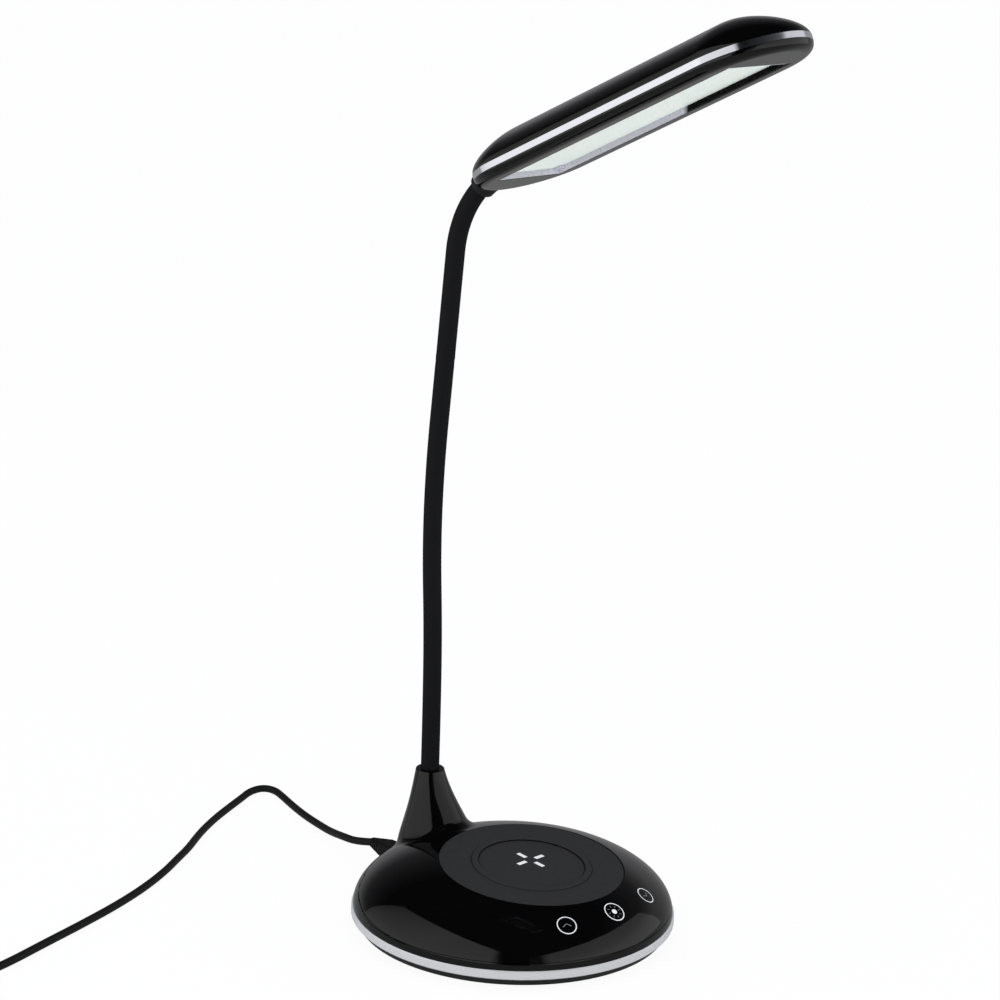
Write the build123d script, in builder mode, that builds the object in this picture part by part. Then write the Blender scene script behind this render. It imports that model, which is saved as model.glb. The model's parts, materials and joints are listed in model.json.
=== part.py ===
# Gooseneck desk lamp with a wireless charging base.
#
# A weighted round base carries a tilted charging pad, three touch spots and a socket for its
# USB lead. A hollow cone on the base holds a flexible neck, a wound steel conduit in a
# silicone sleeve, and the neck holds a long slim head with an LED panel in its underside.
#
# Millimetres. The origin is the centre of the foot on the desk, +X to the front, +Z up.

import os
from math import cos, pi, radians, sin, sqrt, tan

from build123d import *

os.makedirs("parts", exist_ok=True)

# ---------------------------------------------------------------- driving dimensions
# fits
slip_fit = 0.1  # between pieces that slide over each other
seat_gap = 0.3  # between pieces that stand on each other
seam_gap = 0.3  # visible parting lines

# base
base_radius = 85.0
foot_inset = 11.0
foot_thickness = 1.5
pan_undercut = 4.0
pan_floor = 2.2
pan_height = 4.2
pan_wall = 2.0
ring_height = 4.7
ring_wall = 4.0
ring_overhang = 0.8
dome_rise = 33.8
cover_wall = 2.4
rim_height = 4.0
rim_rear_height = 9.6
rim_rear_start = 22.0
rim_rear_run = 34.0
rim_ledge = 1.6
rim_ledge_reach = 4.0
weight_inset = 24.0
weight_thickness = 5.2
edge_break = 0.6  # bevel on moulded and turned outer edges

# charging pad, on a plane that leans to the front
pad_inset = 35.7  # from the dome's foot to the pad's edge, when seen from above
pad_centre = 12.5
pad_height = 37.35
pad_lean = 4.6
pad_thickness = 2.0
pad_floor = 2.2
grip_ring_radius = 31.5
grip_ring_width = 3.6
grip_ring_height = 0.6

# neck foot, a hollow cone behind the pad
neck_inset = 19.9
cone_sections = [  # height, radius and how far its centre lies forward of the neck
    (68.6, 7.6, 0.1),
    (55.0, 11.4, 2.1),
    (43.5, 15.9, 4.6),
    (31.0, 21.0, 7.1),
    (16.0, 24.3, 10.0),
]
cone_ceiling = 43.5
cone_blend = 7.0

# neck: sections that bend at the joints between them
sleeve_radius = 4.95
sleeve_wall = 1.2
core_wall = 1.3
neck_start = 77.0
section_length = 45.6
section_leans = [-1.0, -2.7, 4.8, 4.2, -0.2, 0.0]
bend_length = 22.8
bend_lean = 23.9
tail_length = 4.4
anchor_length = 12.0
core_gap = 0.9  # between the cores at a joint, room for the bend
ferrule_length = 19.0
ferrule_depth = 12.0
nut_width = 13.0
nut_height = 5.0

# head, in its own frame: along, across and out of the underside
head_tilt = 25.8
head_length = 206.0
head_half_width = 33.4
head_thickness = 25.0
strip_bottom = 4.7
strip_height = 3.0
strip_wall = 3.0
strip_proud = 0.2
crown_fullness = 0.39
head_wall = 2.0
under_corner = 5.6
entry_height = 8.0
collar_radius = 6.8
collar_reach = 10.0
collar_seat = 5.0
window_start = 24.9
window_end = 25.1
window_side = 12.4
window_depth = 3.0
frame_wall = 1.2
diffuser_thickness = 2.0
board_thickness = 1.6
board_height = 14.0
led_size = 3.0
led_height = 0.8
led_rows = 2
led_columns = 14

# USB lead
cable_radius = 1.9
plug_height_z = 12.5
plug_width = 12.4
plug_thickness = 7.6
plug_length = 12.4
relief_length = 11.0
shell_width = 8.3
shell_thickness = 2.5
shell_length = 6.6
coil_radius = 20.5
coil_width = 11.4
coil_height = 7.8
coil_lift = 0.7
coil_centre = (-148.0, -272.0)

# ---------------------------------------------------------------- levels that follow
pan_top = foot_thickness + pan_height
ring_top = pan_top + ring_height
dome_radius = base_radius - ring_overhang
pad_radius = dome_radius - pad_inset
neck_foot_x = neck_inset - base_radius
inner_radius = dome_radius - cover_wall
inner_rise = dome_rise - cover_wall
floor_top = foot_thickness + pan_floor
seam_front = ring_top + rim_height
seam_rear = ring_top + rim_rear_height
ring_inner = base_radius - ring_wall
upstand_radius = ring_inner - slip_fit
window_length = head_length - window_start - window_end
window_width = 2 * (head_half_width - window_side)
pad_plane = Plane(
    origin=(pad_centre, 0, pad_height),
    x_dir=(cos(radians(pad_lean)), 0, -sin(radians(pad_lean))),
    z_dir=(sin(radians(pad_lean)), 0, cos(radians(pad_lean))),
)
pad_axis = Axis(pad_plane.origin, pad_plane.z_dir)


def dome_height(radius, rise, at):
    """height over the desk of a dome's surface, at a distance from the middle"""
    return ring_top + rise * sqrt(1 - (at / radius) ** 2)


# ---------------------------------------------------------------- dome helpers
def dome(radius, rise):
    """a quarter ellipse turned round the base's axis, from the ring's top upwards"""
    with BuildPart() as shape:
        with BuildSketch(Plane.XZ):
            with BuildLine():
                EllipticalCenterArc((0, ring_top), radius, rise, start_angle=0, arc_size=90)
                Polyline((0, ring_top + rise), (0, ring_top), (radius, ring_top))
            make_face()
        revolve(axis=Axis.Z)
    return shape.part


def cone(inset, top):
    """the neck foot's flared form, or its hollow when inset by a wall"""
    with BuildPart() as shape:
        for height, radius, forward in reversed(cone_sections):
            if height <= top:
                with BuildSketch(Plane((neck_foot_x + forward, 0, height), x_dir=(-1, 0, 0))):
                    Circle(radius - inset)
        loft()
    return shape.part


# hollow of the base: the inner dome up to the pad's floor, and the cone's inside
boss_radius = 3.5
boss_inset = 15.0
boss_reach = base_radius - boss_inset
boss_angle = 45.0
with BuildPart() as base_hollow:
    add(dome(inner_radius, inner_rise))
    split(bisect_by=pad_plane.offset(-pad_thickness - pad_floor), keep=Keep.BOTTOM)
    add(cone(cover_wall, cone_ceiling))
    # bore of the neck, from the cone's ceiling up through its mouth
    with BuildSketch(Plane((neck_foot_x, 0, cone_ceiling - nut_height))):
        Circle(sleeve_radius + slip_fit)
    extrude(amount=cone_sections[0][0])
    with BuildSketch(Plane.XY.offset(ring_top)):
        with PolarLocations(boss_reach, 4, start_angle=boss_angle):
            Circle(boss_radius)
    extrude(amount=dome_rise, mode=Mode.SUBTRACT)

# everything of the dome's wall that belongs to the lower rim
with BuildPart() as rim_zone:
    with BuildSketch(Plane.XZ):
        with BuildLine():
            Polyline(
                (-base_radius, seam_rear),
                (-rim_rear_start - rim_rear_run, seam_rear),
                (-rim_rear_start, seam_front),
                (base_radius, seam_front),
                (base_radius, 0),
                (-base_radius, 0),
                close=True,
            )
        make_face()
    extrude(amount=base_radius, both=True)
    with BuildSketch(Plane.XY):
        Circle(inner_radius - rim_ledge_reach - seat_gap)
    extrude(amount=base_radius, mode=Mode.SUBTRACT)

# ---------------------------------------------------------------- base cover
screw_radius = 1.5
cover_screw_length = 14.0
carrier_reach = 33.0
carrier_boss_radius = 3.0
coil_thickness = 1.3
ferrite_thickness = 1.1
carrier_drop = pad_thickness + pad_floor + coil_thickness + ferrite_thickness + 2 * slip_fit
with BuildPart() as base_cover:
    add(dome(dome_radius, dome_rise))
    add(cone(0, cone_sections[0][0]))
    seam = base_cover.edges(Select.LAST).filter_by(lambda e: e.center().Z < cone_sections[2][0])
    seam = seam.filter_by(lambda e: e.center().Z > cone_sections[4][0] + 5)
    fillet(seam, radius=cone_blend)
    mouth = base_cover.edges().group_by(Axis.Z)[-1]
    fillet(mouth, radius=edge_break)
    add(base_hollow.part, mode=Mode.SUBTRACT)
    add(rim_zone.part, mode=Mode.SUBTRACT)
    # recess of the pad, open upwards
    with BuildSketch(pad_plane.offset(-pad_thickness)):
        Circle(pad_radius + seam_gap)
    extrude(amount=dome_rise, mode=Mode.SUBTRACT)
    # screw bosses reach down to the pan
    with BuildSketch(Plane.XY.offset(floor_top + seat_gap)):
        with PolarLocations(boss_reach, 4, start_angle=boss_angle):
            Circle(boss_radius)
    extrude(amount=ring_top - floor_top)
    with BuildSketch(pad_plane.offset(-carrier_drop)):
        with PolarLocations(carrier_reach, 3, start_angle=60):
            Circle(carrier_boss_radius)
    extrude(amount=carrier_drop - pad_thickness - pad_floor)
    with BuildSketch(pad_plane.offset(-carrier_drop)):
        with PolarLocations(carrier_reach, 3, start_angle=60):
            Circle(screw_radius)
    extrude(amount=carrier_drop - pad_thickness - pad_floor, mode=Mode.SUBTRACT)
    with BuildSketch(Plane.XY.offset(floor_top)):
        with PolarLocations(boss_reach, 4, start_angle=boss_angle):
            Circle(screw_radius)
    extrude(amount=cover_screw_length, mode=Mode.SUBTRACT)
base_cover.part.label = "base_cover"
export_step(base_cover.part, "parts/base_cover.step")

# ---------------------------------------------------------------- base rim, ring and pan
socket_width = 9.2
socket_height = 3.4
socket_length = 9.4
opening_clearance = 0.4
socket_plane = Plane(origin=(-inner_radius, 0, plug_height_z), x_dir=(0, 1, 0), z_dir=(1, 0, 0))

with BuildPart() as base_rim:
    add(dome(dome_radius, dome_rise))
    add(dome(inner_radius, inner_rise), mode=Mode.SUBTRACT)
    add(rim_zone.part.moved(Location((0, 0, -seam_gap))), mode=Mode.INTERSECT)
    # ledge that stands on the pan's upstand
    with BuildSketch(Plane.XY.offset(ring_top)):
        Circle(dome_radius - cover_wall / 2)
        Circle(inner_radius - rim_ledge_reach, mode=Mode.SUBTRACT)
    extrude(amount=rim_ledge)
    # way for the socket and the plug's shell
    with BuildSketch(socket_plane):
        RectangleRounded(socket_width + 2 * opening_clearance, socket_height + 2 * opening_clearance, 1.5)
    extrude(amount=base_radius - inner_radius + 1, both=True, mode=Mode.SUBTRACT)
base_rim.part.label = "base_rim"
export_step(base_rim.part, "parts/base_rim.step")

with BuildPart() as trim_ring:
    with BuildSketch(Plane.XZ):
        with BuildLine():
            Polyline(
                (ring_inner, pan_top),
                (base_radius - edge_break, pan_top),
                (base_radius, pan_top + edge_break),
                (base_radius, ring_top - edge_break),
                (base_radius - edge_break, ring_top),
                (ring_inner, ring_top),
                close=True,
            )
        make_face()
    revolve(axis=Axis.Z)
trim_ring.part.label = "trim_ring"
export_step(trim_ring.part, "parts/trim_ring.step")

board_post_radius = 2.5
board_screw_radius = 1.0
board_screw_length = 5.0
board_screw_head_radius = 1.8
board_screw_head_height = 1.0
socket_board_start = 5.8  # behind the rim's inner wall
socket_board_length = 14.5
socket_board_width = 28.0
socket_board_x = socket_board_start + socket_board_length / 2 - inner_radius
socket_post_x = socket_board_x + 1.25
socket_post_y = 9.5
socket_board_top = plug_height_z - socket_height / 2
socket_board_bottom = socket_board_top - board_thickness
touch_inset = 16.0
touch_reach = base_radius - touch_inset
touch_angle = 24.5
touch_board_height = 16.0
touch_post_reach = touch_reach - 1.0
touch_post_angle = 13.0
with BuildPart() as base_pan:
    with BuildSketch(Plane.XZ):
        with BuildLine():
            Polyline(
                (0, foot_thickness),
                (base_radius - pan_undercut, foot_thickness),
                (base_radius - edge_break, pan_top),
                (upstand_radius, pan_top),
                (upstand_radius, ring_top - slip_fit),
                (upstand_radius - pan_wall, ring_top - slip_fit),
                (upstand_radius - pan_wall, floor_top),
                (0, floor_top),
                close=True,
            )
        make_face()
    revolve(axis=Axis.Z)
    with BuildSketch(Plane.XY.offset(floor_top)):
        with Locations((socket_post_x, socket_post_y), (socket_post_x, -socket_post_y)):
            Circle(board_post_radius)
            Circle(board_screw_radius + slip_fit / 2, mode=Mode.SUBTRACT)
    extrude(amount=socket_board_bottom - floor_top)
    with BuildSketch(Plane.XY.offset(floor_top)):
        for angle in (-touch_post_angle, touch_post_angle):
            with PolarLocations(touch_post_reach, 1, start_angle=angle):
                Circle(board_post_radius)
    extrude(amount=touch_board_height - floor_top)
    # screw heads sink in from below, under the foot pad
    with BuildSketch(Plane.XY.offset(foot_thickness)):
        with PolarLocations(boss_reach, 4, start_angle=boss_angle):
            Circle(screw_radius + slip_fit)
    extrude(amount=pan_floor, mode=Mode.SUBTRACT)
base_pan.part.label = "base_pan"
export_step(base_pan.part, "parts/base_pan.step")

with BuildPart() as foot_pad:
    with BuildSketch(Plane.XY):
        Circle(base_radius - foot_inset)
        with PolarLocations(boss_reach, 4, start_angle=boss_angle):
            Circle(boss_radius, mode=Mode.SUBTRACT)
    extrude(amount=foot_thickness)
foot_pad.part.label = "foot_pad"
export_step(foot_pad.part, "parts/foot_pad.step")

weight_screw_reach = 40.0
with BuildPart() as weight_plate:
    with BuildSketch(Plane.XY.offset(floor_top)):
        Circle(base_radius - weight_inset)
        with PolarLocations(weight_screw_reach, 3):
            Circle(screw_radius + slip_fit, mode=Mode.SUBTRACT)
    extrude(amount=weight_thickness)
weight_plate.part.label = "weight_plate"
export_step(weight_plate.part, "parts/weight_plate.step")


def screw(plane, radius, length, head_radius, head_height):
    """a pan-head screw in the current part, its head standing on the plane"""
    with BuildPart(mode=Mode.PRIVATE) as blank:
        with BuildSketch(plane):
            Circle(head_radius)
        extrude(amount=head_height)
        with BuildSketch(plane):
            Circle(radius)
        extrude(amount=-length)
    add(blank.part)


screw_head_radius = 2.8
screw_head_height = 1.4
with BuildPart() as cover_screws:
    for place in PolarLocations(boss_reach, 4, start_angle=boss_angle):
        centre = place.position
        screw(
            Plane((centre.X, centre.Y, foot_thickness), z_dir=(0, 0, -1)),
            screw_radius - slip_fit / 2,
            cover_screw_length,
            screw_head_radius,
            screw_head_height,
        )
cover_screws.part.label = "cover_screws"
export_step(cover_screws.part, "parts/cover_screws.step")

with BuildPart() as weight_screws:
    for place in PolarLocations(weight_screw_reach, 3):
        centre = place.position
        screw(
            Plane((centre.X, centre.Y, floor_top + weight_thickness)),
            screw_radius - slip_fit / 2,
            weight_thickness,
            screw_head_radius,
            screw_head_height,
        )
weight_screws.part.label = "weight_screws"
export_step(weight_screws.part, "parts/weight_screws.step")

# ---------------------------------------------------------------- charging pad and its coil
with BuildPart() as charging_pad:
    with BuildSketch(pad_plane):
        Circle(pad_radius)
    extrude(amount=-pad_thickness)
    fillet(charging_pad.faces().sort_by(pad_axis)[-1].edges(), radius=0.5)
    with BuildSketch(pad_plane):
        Circle(grip_ring_radius)
        Circle(grip_ring_radius - grip_ring_width, mode=Mode.SUBTRACT)
    extrude(amount=grip_ring_height)
    fillet(charging_pad.faces().sort_by(pad_axis)[-1].edges(), radius=grip_ring_height * 0.8)
charging_pad.part.label = "charging_pad"
export_step(charging_pad.part, "parts/charging_pad.step")

coil_outer = 21.5
coil_inner = 10.0
ferrite_radius = 25.0
carrier_radius = carrier_reach + carrier_boss_radius
carrier_thickness = 1.6
coil_drop = pad_thickness + pad_floor + slip_fit + coil_thickness
with BuildPart() as charging_coil:
    with BuildSketch(pad_plane.offset(-coil_drop)):
        Circle(coil_outer)
        Circle(coil_inner, mode=Mode.SUBTRACT)
    extrude(amount=coil_thickness)
charging_coil.part.label = "charging_coil"
export_step(charging_coil.part, "parts/charging_coil.step")

with BuildPart() as coil_ferrite:
    with BuildSketch(pad_plane.offset(-coil_drop - ferrite_thickness)):
        Circle(ferrite_radius)
    extrude(amount=ferrite_thickness)
coil_ferrite.part.label = "coil_ferrite"
export_step(coil_ferrite.part, "parts/coil_ferrite.step")

main_board_length = 56.0
main_board_width = 40.0
main_post_height = 4.0
main_post_x = 24.0
main_post_y = 16.0
carrier_top = pad_plane.offset(-carrier_drop - slip_fit)
carrier_bottom = carrier_top.offset(-carrier_thickness)
main_board_plane = carrier_bottom.offset(-main_post_height)
with BuildPart() as coil_carrier:
    with BuildSketch(carrier_top):
        Circle(carrier_radius)
        with PolarLocations(carrier_reach, 3, start_angle=60):
            Circle(screw_radius + slip_fit, mode=Mode.SUBTRACT)
    extrude(amount=-carrier_thickness)
    with BuildSketch(carrier_bottom):
        with GridLocations(2 * main_post_x, 2 * main_post_y, 2, 2):
            Circle(board_post_radius)
    extrude(amount=-main_post_height)
coil_carrier.part.label = "coil_carrier"
export_step(coil_carrier.part, "parts/coil_carrier.step")

with BuildPart() as carrier_screws:
    for place in PolarLocations(carrier_reach, 3, start_angle=60):
        centre = carrier_bottom.from_local_coords(place.position)
        screw(
            Plane(centre, z_dir=-carrier_bottom.z_dir),
            screw_radius - slip_fit / 2,
            carrier_thickness + slip_fit + carrier_drop - pad_thickness - pad_floor - 0.5,
            screw_head_radius,
            screw_head_height,
        )
carrier_screws.part.label = "carrier_screws"
export_step(carrier_screws.part, "parts/carrier_screws.step")

with BuildPart() as main_board:
    with BuildSketch(main_board_plane):
        RectangleRounded(main_board_length, main_board_width, 2)
    extrude(amount=-board_thickness)
main_board.part.label = "main_board"
export_step(main_board.part, "parts/main_board.step")

# inductor, two capacitors, the charging and the lamp controllers
part_sizes = [(-14.0, 6.0, 11.0, 11.0, 5.0), (6.0, 11.0, 7.0, 7.0, 1.0), (8.0, -8.0, 9.0, 6.0, 1.6)]
part_sizes += [(-14.0, -11.0, 6.0, 6.0, 5.5), (-4.0, -11.0, 6.0, 6.0, 5.5)]
with BuildPart() as board_parts:
    for x, y, length, width, height in part_sizes:
        with BuildSketch(main_board_plane.offset(-board_thickness)):
            with Locations((x, y)):
                RectangleRounded(length, width, 0.8)
        extrude(amount=-height)
board_parts.part.label = "board_parts"
export_step(board_parts.part, "parts/board_parts.step")

# ---------------------------------------------------------------- socket and touch boards
with BuildPart() as socket_board:
    with BuildSketch(Plane.XY.offset(socket_board_bottom)):
        with Locations((socket_board_x, 0)):
            Rectangle(socket_board_length, socket_board_width)
        with Locations((socket_post_x, socket_post_y), (socket_post_x, -socket_post_y)):
            Circle(board_screw_radius + slip_fit / 2, mode=Mode.SUBTRACT)
    extrude(amount=board_thickness)
socket_board.part.label = "socket_board"
export_step(socket_board.part, "parts/socket_board.step")

with BuildPart() as usb_socket:
    with BuildSketch(socket_plane):
        RectangleRounded(socket_width, socket_height, 1.4)
    extrude(amount=socket_length)
    with BuildSketch(socket_plane):
        RectangleRounded(shell_width + 2 * slip_fit, shell_thickness + 2 * slip_fit, 1.2)
    extrude(amount=shell_length + 0.5, mode=Mode.SUBTRACT)
usb_socket.part.label = "usb_socket"
export_step(usb_socket.part, "parts/usb_socket.step")

touch_board_width = 14.0
touch_board_outer = touch_reach + 5.0
touch_board_half = 32.0
touch_contact_radius = 2.6
touch_contact_top = dome_height(inner_radius, inner_rise, touch_reach + touch_contact_radius) - seat_gap
with BuildPart() as touch_board:
    with BuildSketch(Plane.XY.offset(touch_board_height)):
        Circle(touch_board_outer)
        Circle(touch_board_outer - touch_board_width, mode=Mode.SUBTRACT)
        with BuildLine():
            Polyline(
                (0, 0),
                (base_radius, base_radius * tan(radians(touch_board_half))),
                (base_radius, -base_radius * tan(radians(touch_board_half))),
                close=True,
            )
        make_face(mode=Mode.INTERSECT)
    extrude(amount=board_thickness)
touch_board.part.label = "touch_board"
export_step(touch_board.part, "parts/touch_board.step")

with BuildPart() as touch_contacts:
    with BuildSketch(Plane.XY.offset(touch_board_height + board_thickness)):
        with PolarLocations(touch_reach, 3, start_angle=-touch_angle, angular_range=3 * touch_angle):
            Circle(touch_contact_radius)
    extrude(amount=touch_contact_top - touch_board_height - board_thickness)
touch_contacts.part.label = "touch_contacts"
export_step(touch_contacts.part, "parts/touch_contacts.step")

with BuildPart() as board_screws:
    for y in (socket_post_y, -socket_post_y):
        screw(
            Plane((socket_post_x, y, socket_board_top)),
            board_screw_radius,
            board_screw_length,
            board_screw_head_radius,
            board_screw_head_height,
        )
board_screws.part.label = "board_screws"
export_step(board_screws.part, "parts/board_screws.step")

# ---------------------------------------------------------------- neck
ferrule_top = cone_sections[0][0] - ferrule_depth
ferrule_radius = sleeve_radius - slip_fit
core_radius = sleeve_radius - sleeve_wall - slip_fit
with BuildPart() as neck_ferrule:
    with BuildSketch(Plane((neck_foot_x, 0, ferrule_top))):
        Circle(ferrule_radius)
        Circle(core_radius + slip_fit / 2, mode=Mode.SUBTRACT)
    extrude(amount=-ferrule_length)
neck_ferrule.part.label = "neck_ferrule"
export_step(neck_ferrule.part, "parts/neck_ferrule.step")

with BuildPart() as neck_nut:
    with BuildSketch(Plane((neck_foot_x, 0, cone_ceiling - slip_fit))):
        RegularPolygon(nut_width / 2, 6, major_radius=False)
        Circle(ferrule_radius + slip_fit / 2, mode=Mode.SUBTRACT)
    extrude(amount=-nut_height)
neck_nut.part.label = "neck_nut"
export_step(neck_nut.part, "parts/neck_nut.step")


def neck_points():
    """joints of the neck, each with the neck's lean there, from the foot to the head"""
    lengths = [section_length] * len(section_leans) + [bend_length, bend_length, tail_length, anchor_length]
    leans = section_leans + [bend_lean, bend_lean]
    leans += [90 - head_tilt - sum(leans), 0.0]
    x, z, lean = neck_foot_x, neck_start, 0.0
    points = [(x, z, lean)]
    for length, change in zip(lengths, leans):
        chord = length
        if abs(change) > 1e-6:
            chord = length * sin(radians(change / 2)) / radians(change / 2)
        x += chord * sin(radians(lean + change / 2))
        z += chord * cos(radians(lean + change / 2))
        lean += change
        points.append((x, z, lean))
    return points


joints = neck_points()
print("neck joints", [tuple(round(value, 2) for value in joint) for joint in joints])


def neck_rod(runs, radius, start_cut, end_cut):
    """a round rod along some of the neck's sections, shortened at its two ends"""
    with BuildPart() as rod:
        with BuildLine(Plane.XZ) as path:
            for run in runs:
                x, z, lean = joints[run]
                end_x, end_z, end_lean = joints[run + 1]
                if abs(end_lean - lean) < 1e-6:
                    Line((x, z), (end_x, end_z))
                else:
                    TangentArc((x, z), (end_x, end_z), tangent=(sin(radians(lean)), cos(radians(lean))))
        middle = path.wires()[0]
        trimmed = middle.trim(start_cut / middle.length, 1 - end_cut / middle.length)
        with BuildSketch(Plane(trimmed @ 0, z_dir=trimmed % 0)):
            Circle(radius)
        sweep(path=trimmed)
    return rod.part


def neck_tube(runs, outer, wall, start_cut, end_cut):
    """a tube along some of the neck's sections"""
    with BuildPart() as tube:
        add(neck_rod(runs, outer, start_cut, end_cut))
        add(neck_rod(runs, outer - wall, start_cut, end_cut), mode=Mode.SUBTRACT)
    return tube.part


# the stub in the cone, up to the lowest joint
with BuildPart() as neck_core_0:
    with BuildSketch(Plane((neck_foot_x, 0, neck_start - core_gap))):
        Circle(core_radius)
        Circle(core_radius - core_wall, mode=Mode.SUBTRACT)
    extrude(amount=-(neck_start - core_gap - ferrule_top + ferrule_length - 2))
neck_core_0.part.label = "neck_core_0"
export_step(neck_core_0.part, "parts/neck_core_0.step")

with BuildPart() as neck_sleeve_0:
    with BuildSketch(Plane((neck_foot_x, 0, neck_start))):
        Circle(sleeve_radius)
        Circle(sleeve_radius - sleeve_wall, mode=Mode.SUBTRACT)
    extrude(amount=-(neck_start - ferrule_top - seat_gap))
neck_sleeve_0.part.label = "neck_sleeve_0"
export_step(neck_sleeve_0.part, "parts/neck_sleeve_0.step")

# the sections between the joints; the last goes through the collar into the head
last_run = len(section_leans) + 1
tail_runs = [last_run, last_run + 1, last_run + 2]
sleeve_end_cut = anchor_length - 4.0
for run in range(last_run + 1):
    runs = [run] if run < last_run else tail_runs
    end_cut = core_gap if run < last_run else 0.5
    neck_core = neck_tube(runs, core_radius, core_wall, core_gap, end_cut)
    neck_core.label = f"neck_core_{run + 1}"
    export_step(neck_core, f"parts/neck_core_{run + 1}.step")
    neck_sleeve = neck_tube(runs, sleeve_radius, sleeve_wall, 0, 0 if run < last_run else sleeve_end_cut)
    neck_sleeve.label = f"neck_sleeve_{run + 1}"
    export_step(neck_sleeve, f"parts/neck_sleeve_{run + 1}.step")

with BuildPart() as upper_ferrule:
    add(neck_rod([tail_runs[-1]], ferrule_radius, anchor_length - sleeve_end_cut + slip_fit, 0))
    add(neck_rod([tail_runs[-1]], core_radius + slip_fit / 2, 0, 0), mode=Mode.SUBTRACT)
upper_ferrule.part.label = "upper_ferrule"
export_step(upper_ferrule.part, "parts/upper_ferrule.step")

# ---------------------------------------------------------------- head
# its frame starts at the rear end of the outline, on the plane of the underside
along = Vector(cos(radians(head_tilt)), 0, sin(radians(head_tilt)))
upward = Vector(-sin(radians(head_tilt)), 0, cos(radians(head_tilt)))
across = Vector(0, 1, 0)
entry = Vector(joints[-2][0], 0, joints[-2][1])
head_origin = entry - upward * entry_height
head_straight = head_length - 2 * head_half_width
strip_top = strip_bottom + strip_height


def head_point(distance, side, height):
    """a place on the head: along it, across it and above its underside"""
    return head_origin + along * distance + across * side + upward * height


def head_level(distance, height):
    """a plane across the head's thickness, seen from above"""
    return Plane(head_point(distance, 0, height), x_dir=along, z_dir=upward)


rear_section = Plane(head_point(head_half_width, 0, 0), x_dir=across, z_dir=along)
front_section = Plane(head_point(head_length - head_half_width, 0, 0), x_dir=-across, z_dir=-along)
middle_level = head_level(head_length / 2, 0)


def round_ended_bar(half_section):
    """a half-section run along the head's straight and turned round at both its ends"""
    with BuildPart() as bar:
        for section in (rear_section, front_section):
            with BuildSketch(section):
                make_face(half_section)
            revolve(axis=Axis(section.origin, upward), revolution_arc=180)
        with BuildSketch(rear_section):
            make_face(half_section)
            mirror(about=Plane.YZ)
        extrude(amount=head_straight)
    return bar.part


def crown(half_width, top):
    """the head's domed upper form"""
    rise = top - strip_top
    with BuildLine() as outline:
        Bezier(
            (half_width, strip_top),
            (half_width, strip_top + crown_fullness * rise),
            (crown_fullness * half_width, top),
            (0, top),
        )
        Polyline((0, top), (0, strip_top), (half_width, strip_top))
    return round_ended_bar(outline.edges())


def keel(half_width, corner, bottom):
    """the head's flatter lower form, with a rounded edge"""
    with BuildLine() as outline:
        Bezier(
            (half_width - corner, bottom),
            (half_width - corner * 0.4, bottom),
            (half_width, bottom + (strip_bottom - bottom) * 0.45),
            (half_width, strip_bottom),
        )
        Polyline((half_width, strip_bottom), (0, strip_bottom), (0, bottom), (half_width - corner, bottom))
    return round_ended_bar(outline.edges())


# the collar follows the neck through the rear end
collar_start_cut = bend_length + tail_length - collar_reach
collar_end_cut = anchor_length - collar_seat
with BuildPart() as collar_way:
    add(neck_rod(tail_runs, collar_radius + slip_fit, collar_start_cut - 5, collar_end_cut - slip_fit))
    add(neck_rod([tail_runs[-1]], ferrule_radius + slip_fit, 0, 0))

led_board_inset = 3.0
led_board_length = window_length - 2 * led_board_inset
led_board_width = window_width - 2 * led_board_inset
led_screw_pitch = 50.0
led_screw_places = [(-led_screw_pitch, 0.0), (0.0, 0.0), (led_screw_pitch, 0.0)]  # from the head's middle
board_back = board_height + board_thickness
with BuildPart() as head_cover:
    add(crown(head_half_width, head_thickness))
    add(crown(head_half_width - head_wall, head_thickness - head_wall), mode=Mode.SUBTRACT)
    add(collar_way.part, mode=Mode.SUBTRACT)
    # bosses that hold the LED board, each with its screw hole
    with BuildSketch(middle_level.offset(board_back)):
        with Locations(*led_screw_places):
            Circle(carrier_boss_radius)
    extrude(amount=head_thickness - head_wall / 2 - board_back)
    with BuildSketch(middle_level.offset(board_back)):
        with Locations(*led_screw_places):
            Circle(board_screw_radius)
    extrude(amount=board_screw_length, mode=Mode.SUBTRACT)
head_cover.part.label = "head_cover"
export_step(head_cover.part, "parts/head_cover.step")

with BuildPart() as head_strip:
    with BuildSketch(middle_level.offset(strip_bottom)):
        SlotOverall(head_length + 2 * strip_proud, 2 * (head_half_width + strip_proud))
        SlotOverall(head_length - 2 * strip_wall, 2 * (head_half_width - strip_wall), mode=Mode.SUBTRACT)
    extrude(amount=strip_height)
    add(collar_way.part, mode=Mode.SUBTRACT)
head_strip.part.label = "head_strip"
export_step(head_strip.part, "parts/head_strip.step")

window_centre = window_start + window_length / 2
opening_length = window_length + 2 * frame_wall
opening_width = window_width + 2 * frame_wall
with BuildPart() as head_bezel:
    add(keel(head_half_width, under_corner, 0))
    # tray behind the window, open upwards
    with BuildSketch(middle_level.offset(head_wall)):
        SlotOverall(head_length - 2 * under_corner, 2 * (head_half_width - under_corner))
    extrude(amount=strip_bottom, mode=Mode.SUBTRACT)
    with BuildSketch(head_level(window_centre, 0)):
        Rectangle(opening_length, opening_width)
    extrude(amount=strip_bottom, mode=Mode.SUBTRACT)
    add(collar_way.part, mode=Mode.SUBTRACT)
head_bezel.part.label = "head_bezel"
export_step(head_bezel.part, "parts/head_bezel.step")

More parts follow.
